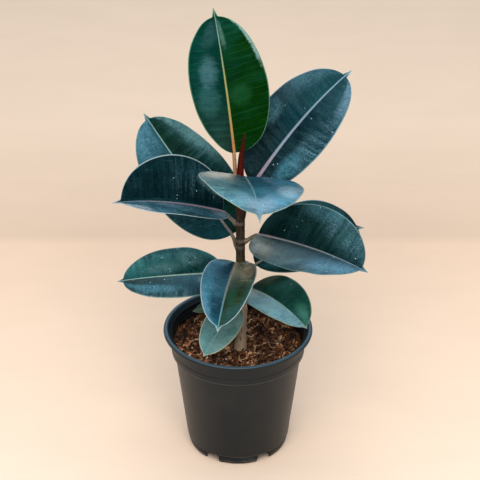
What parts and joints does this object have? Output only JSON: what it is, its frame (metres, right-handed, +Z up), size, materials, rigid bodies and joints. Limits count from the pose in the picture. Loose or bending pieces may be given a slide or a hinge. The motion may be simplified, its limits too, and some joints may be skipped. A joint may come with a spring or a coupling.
{
  "type": "potted rubber plant",
  "caption": "Young rubber fig with broad glossy pointed leaves on a straight woody stem, planted in crumbly soil in a tapered plastic nursery pot.",
  "frame": {"origin": "centre of the pot's foot, on the surface the pot stands on, at the middle of the flat pad under the pot's floor", "axes": "+Z up along the pot's axis, towards the growing tip; -Y towards the side the plant is seen from, where the broadest upper leaf reaches forward; +X to that viewer's right"},
  "size_m": [0.2127, 0.2147, 0.3974],
  "materials": {
    "pot_plastic": "black injection-moulded plastic, satin, slightly scuffed",
    "potting_mix": "crumbly brown coir and bark mix, matte",
    "bark": "grey-brown young bark, matte",
    "bud_sheath": "smooth dark red, satin",
    "mature_leaf": "glossy dark blue-green, leathery, with a paler midrib",
    "young_leaf": "glossy fresh green, leathery, with a yellow-green midrib"
  },
  "bodies": {
    "root": {"pot": "pot_plastic", "soil": "potting_mix", "stem": "bark", "bud_sheath": "bud_sheath", "leaf_01": "young_leaf", "leaf_02": "mature_leaf", "leaf_03": "mature_leaf", "leaf_04": "mature_leaf", "leaf_05": "mature_leaf", "leaf_06": "mature_leaf", "leaf_07": "mature_leaf", "leaf_08": "mature_leaf", "leaf_09": "mature_leaf", "leaf_10": "mature_leaf", "leaf_11": "mature_leaf", "leaf_12": "mature_leaf"}
  },
  "joints": []
}
